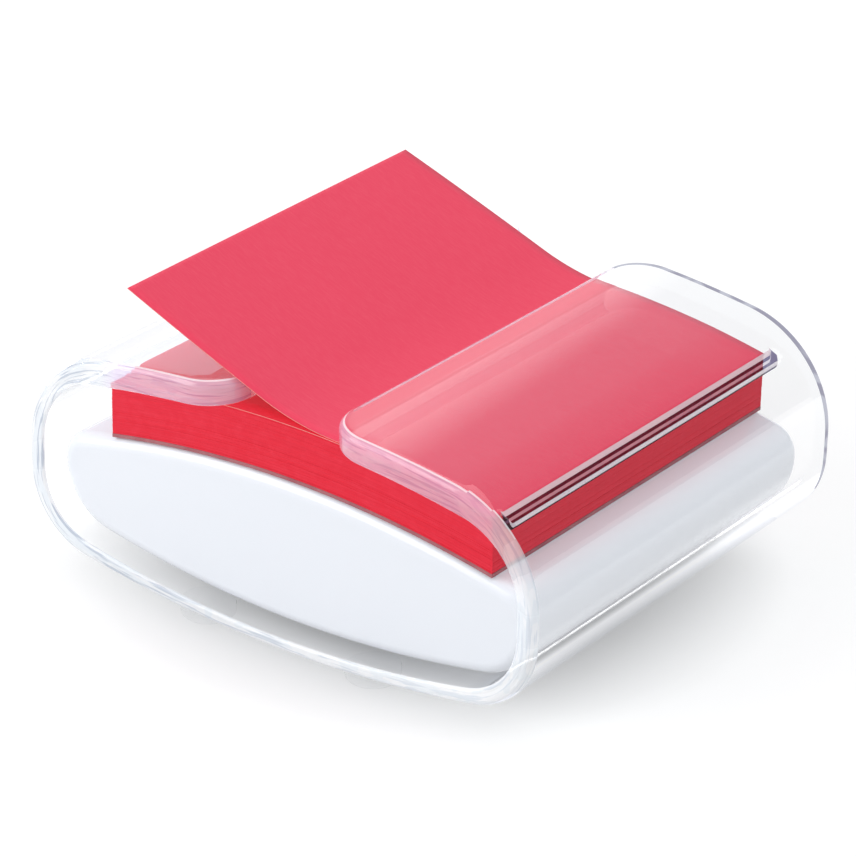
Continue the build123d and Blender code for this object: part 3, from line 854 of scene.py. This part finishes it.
# %% Pad of notes
CROWN_MIDDLE = -160.6
STACK_LOW, STACK_HIGH = 190.68, 199.58
PAD_LEFT, PAD_RIGHT, PAD_HALF = -36.26, 39.26, 38.0
SHEETS, SHEET_FILL, PAD_STEPS = 74, 0.94, 40
SHEET_PLAY, STRAY_SHIFT, STRAY_SHARE = 0.05, 0.06, 0.08
PAD_TOP, PAD_SIDE = 0, 1
chance = random.Random(7)


def on_arc(x, y, radius):
    """A point on the bent pad at a distance from the middle of its bend."""
    return Vector((x, y, CROWN_MIDDLE + math.sqrt(radius**2 - x**2)))


def outline(radius, shift):
    """One sheet's outline at a level of the pad, drawn in by its own offsets."""
    left, right = PAD_LEFT + shift[0], PAD_RIGHT - shift[1]
    front, back = -PAD_HALF + shift[2], PAD_HALF - shift[3]
    xs = [left + (right - left) * i / PAD_STEPS for i in range(PAD_STEPS + 1)]
    ys = [front + (back - front) * i / PAD_STEPS for i in range(1, PAD_STEPS)]
    ring = [(x, front) for x in xs] + [(right, y) for y in ys]
    ring += [(x, back) for x in reversed(xs)] + [(left, y) for y in reversed(ys)]
    return [on_arc(x, y, radius) for x, y in ring]


points, faces, looks = [], [], []
for sheet in range(SHEETS):
    shift = [
        chance.uniform(0.0, SHEET_PLAY) + (STRAY_SHIFT if chance.random() < STRAY_SHARE else 0.0)
        for _ in range(4)
    ]
    for level in (sheet / SHEETS, (sheet + SHEET_FILL) / SHEETS):
        points += outline(STACK_LOW + (STACK_HIGH - STACK_LOW) * level, shift)
rings = 2 * SHEETS
ring_size = len(points) // rings
for ring in range(rings - 1):
    for k in range(ring_size):
        a, b = ring * ring_size + k, ring * ring_size + (k + 1) % ring_size
        faces.append((a, b, b + ring_size, a + ring_size))
        looks.append(PAD_SIDE)
for base, flip in ((0, True), ((rings - 1) * ring_size, False)):
    front = list(range(base, base + PAD_STEPS + 1))
    back = list(range(base + 2 * PAD_STEPS, base + 3 * PAD_STEPS + 1))[::-1]
    for k in range(PAD_STEPS):
        quad = (front[k], front[k + 1], back[k + 1], back[k])
        faces.append(quad[::-1] if flip else quad)
        looks.append(PAD_TOP)
# Top and bottom take the deep coral of painted shade; the sides take the cut paper.
pad = make_piece("note_pad", points, faces, [painted_deep_coral, cut_paper], looks)
pad.data.polygons.foreach_set("use_smooth", [False] * len(pad.data.polygons))
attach(pad, "base")
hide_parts("note_stack")

# %% [markdown]
# ## The two top sheets
# A sheet of paper is a thin slab that follows a line: flat on the pad, or up and out of the slot. One helper
# lays a grid along such a line and gives it both faces and its edges.

# %% Sheet helper
SHEET = 0.12
SHEET_FACE, SHEET_EDGE = 0, 1


def make_sheet(name, spot_of, steps, across_steps, finish):
    """A sheet from a rule that gives the place and the square direction at (share along, share across)."""
    points, faces, looks = [], [], []
    for sign in (1, -1):
        for i in range(steps + 1):
            for j in range(across_steps + 1):
                at, square = spot_of(i / steps, j / across_steps)
                points.append(at + square * sign * SHEET / 2)
    wide, layer = across_steps + 1, (steps + 1) * (across_steps + 1)
    for i in range(steps):
        for j in range(across_steps):
            a = i * wide + j
            faces.append((a, a + 1, a + wide + 1, a + wide))
            faces.append(tuple(layer + k for k in (a, a + wide, a + wide + 1, a + 1)))
            looks += [SHEET_FACE] * 2
    rim = [j for j in range(wide)] + [i * wide + wide - 1 for i in range(1, steps + 1)]
    rim += [steps * wide + j for j in range(wide - 2, -1, -1)] + [i * wide for i in range(steps - 1, 0, -1)]
    for a, b in zip(rim, rim[1:] + rim[:1]):
        faces.append((a, layer + a, layer + b, b))
        looks.append(SHEET_EDGE)
    # The edges take the pale cut, a painted highlight.
    return make_piece(name, points, faces, [finish, painted_pale_cut], looks)


# %% Next sheet, flat on the pad
NEXT_MIDDLE = 199.67


def next_spot(along, across):
    """Place and square direction on the next sheet."""
    x = PAD_RIGHT + (PAD_LEFT - PAD_RIGHT) * along
    y = PAD_HALF * (2 * across - 1)
    at = on_arc(x, y, NEXT_MIDDLE)
    return at, Vector((x, 0.0, at.z - CROWN_MIDDLE)).normalized()


# The next sheet lies in the shade of the top one; its deeper coral is painted shade.
next_sheet = make_sheet("next_sheet", next_spot, steps=60, across_steps=24, finish=painted_deep_coral)
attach(next_sheet, "base")
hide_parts("next_note")

# %% [markdown]
# The top sheet lies on the pad under the right lip, bends up beside it and leans out over the left lip. It is
# turned a little on the pad and twisted a little in the air, as a sheet is after its neighbour was pulled.
# It crosses the joint by which a note is drawn out.

# %% Popped sheet
BEND_X, TAIL_LENGTH, OUT_LENGTH = 9.4, 30.1, 45.0
TAIL_MIDDLE, BEND_RADIUS, SHEET_ASIDE = 199.82, 44.6, 0.25
LEAN, TURN, TWIST = math.radians(22.2), math.radians(1.5), math.radians(-1.2)
bend_slope = math.asin(BEND_X / TAIL_MIDDLE)
bend_point = Vector((BEND_X, 0.0, CROWN_MIDDLE + TAIL_MIDDLE * math.cos(bend_slope)))


def sheet_line(run, lean):
    """Place and square direction at a run along the sheet from its bend."""
    if run <= 0:
        slope = bend_slope - run / TAIL_MIDDLE
        square = Vector((math.sin(slope), 0.0, math.cos(slope)))
        return Vector((0.0, 0.0, CROWN_MIDDLE)) + TAIL_MIDDLE * square, square
    centre = bend_point + BEND_RADIUS * Vector((math.sin(bend_slope), 0.0, math.cos(bend_slope)))
    slope = min(lean, bend_slope + run / BEND_RADIUS)
    square = Vector((math.sin(slope), 0.0, math.cos(slope)))
    straight = max(0.0, run - BEND_RADIUS * (lean - bend_slope))
    rising = Vector((-math.cos(slope), 0.0, math.sin(slope)))
    return centre - BEND_RADIUS * square + straight * rising, square


def popped_spot(along, across):
    """Place and square direction on the popped sheet, turned and twisted."""
    run = (TAIL_LENGTH + OUT_LENGTH) * along - TAIL_LENGTH
    y = PAD_HALF * (2 * across - 1)
    out = max(0.0, run)
    loosened = min(1.0, max(0.0, 1 + run / TAIL_LENGTH))
    turned = run + y * math.sin(TURN) * loosened**2
    at, square = sheet_line(turned, LEAN + TWIST * y / PAD_HALF * out / OUT_LENGTH)
    at.y = y - out * math.sin(TURN) + SHEET_ASIDE
    return at, square


popped_sheet = make_sheet("popped_sheet", popped_spot, steps=110, across_steps=40, finish=coral_paper)
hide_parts("popped_note", "note_tail")
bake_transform(popped_sheet)

# %% [markdown]
# ## Floor, world and lamps
# The dispenser stands on a pale sweep under soft light. The floor is a matt white that keeps the shadow. To
# the camera, and in reflections and through the clear wall, it is greyer but glows a little, so that away
# from the shadow it comes up to white without any more light on the object. Close under the dispenser the
# glow is weaker, a painted contact shadow. The world is soft and a little cool. In reflections it is bright
# all round but for one dark side, which gives the gloss of the lips its edge.

# %% Floor
FLOOR_REACH = 6.0
FLOOR_DULL, FLOOR_PALE, FLOOR_SEEN = ((tone, tone, tone) for tone in (0.65, 0.68, 0.46))
mesh = bpy.data.meshes.new("floor")
corners = [(sx * FLOOR_REACH, sy * FLOOR_REACH, 0.0) for sx, sy in ((-1, -1), (1, -1), (1, 1), (-1, 1))]
mesh.from_pydata(corners, [], [(0, 1, 2, 3)])
floor = bpy.data.objects.new("floor", mesh)
bpy.context.scene.collection.objects.link(floor)
pale_floor, tree, shader = finish_named("pale_floor", Roughness=0.9, Specular_IOR_Level=0.1)
spot = spot_on(tree)
matt = tinted(tree, noise(tree, spot, scale=900.0, detail=2.0), FLOOR_DULL, FLOOR_PALE)
away = put(tree, "VectorMath", {0: spot}, operation="LENGTH").outputs["Value"]
# Painted contact shadow: the glow is weaker close under the dispenser.
painted_shade_near = ramp(tree, away, start=0.025, end=0.06, first=0.18, last=0.58)
lift = ramp(tree, away, start=0.14, end=0.5, first=painted_shade_near, last=0.8)
rays = put(tree, "LightPath").outputs
direct = sum_of(tree, "MAXIMUM", rays["Is Camera Ray"], rays["Is Glossy Ray"])
seen = sum_of(tree, "MAXIMUM", direct, rays["Is Transmission Ray"])
feed(tree, shader, {"Base Color": tinted(tree, seen, matt, FLOOR_SEEN)})
glow = sum_of(tree, "MULTIPLY", seen, lift)
light = put(tree, "Emission", {"Color": (*WHITE, 1.0), "Strength": glow})
both = put(tree, "AddShader", {0: shader.outputs[0], 1: light.outputs[0]})
tree.links.new(both.outputs[0], tree.nodes["Material Output"].inputs["Surface"])
mesh.materials.append(pale_floor)
print("floor", FLOOR_REACH * 2, "m wide")

# %% World
AMBIENT, COOL = 0.6, (0.97, 0.99, 1.02)
DARK_SIDE = (0.42, 0.68, 0.6)
# The sky's colour by how near a direction is to the dark side.
SKY = (
    (0.44, (0.96, 0.98, 1.12)),
    (0.53, (1.5, 1.5, 1.52)),
    (0.6, (1.6, 1.6, 1.65)),
    (0.655, (0.45, 0.46, 0.52)),
    (0.92, (0.1, 0.11, 0.13)),
)
world = bpy.data.worlds.new("studio")
bpy.context.scene.world = world
world.use_nodes = True
tree = world.node_tree
direction = put(tree, "TexCoord").outputs["Generated"]
nearness = put(tree, "VectorMath", {0: direction, 1: DARK_SIDE}, operation="DOT_PRODUCT").outputs["Value"]
sky = put(tree, "ValToRGB", {0: nearness})
stops = sky.color_ramp.elements
stops[0].position, stops[1].position = SKY[0][0], SKY[-1][0]
for position, _ in SKY[1:-1]:
    stops.new(position)
for stop, (_, colour) in zip(stops, SKY):
    stop.color = (*colour, 1.0)
rays = put(tree, "LightPath").outputs
bounced = sum_of(tree, "MAXIMUM", rays["Is Glossy Ray"], rays["Is Transmission Ray"])
soft_light = [AMBIENT * share for share in COOL]
tone = tinted(tree, bounced, soft_light, sky.outputs[0])
shown = tinted(tree, rays["Is Camera Ray"], tone, WHITE)
feed(tree, tree.nodes["Background"], {"Color": shown, "Strength": 1.0})
print("world", world.name)


# %% Lamps
def soft_lamp(name, towards, distance, size, power):
    """A square soft box that looks at the dispenser from a direction."""
    lamp = bpy.data.lights.new(name, "AREA")
    lamp.shape, lamp.energy = "RECTANGLE", power
    lamp.size = lamp.size_y = size
    box = bpy.data.objects.new(name, lamp)
    away = Vector(towards).normalized()
    turned = away.to_track_quat("Z", "Y").to_matrix().to_4x4()
    box.matrix_world = Matrix.Translation(away * distance) @ turned
    bpy.context.scene.collection.objects.link(box)
    print(name, power, "W")


soft_lamp("key", towards=(-0.75, -0.95, 0.6), distance=0.9, size=0.6, power=4.2)
soft_lamp("fill", towards=(1.0, -0.35, 0.6), distance=1.0, size=0.7, power=1.0)
soft_lamp("top", towards=(0.1, 0.35, 1.0), distance=0.9, size=0.7, power=2.1)
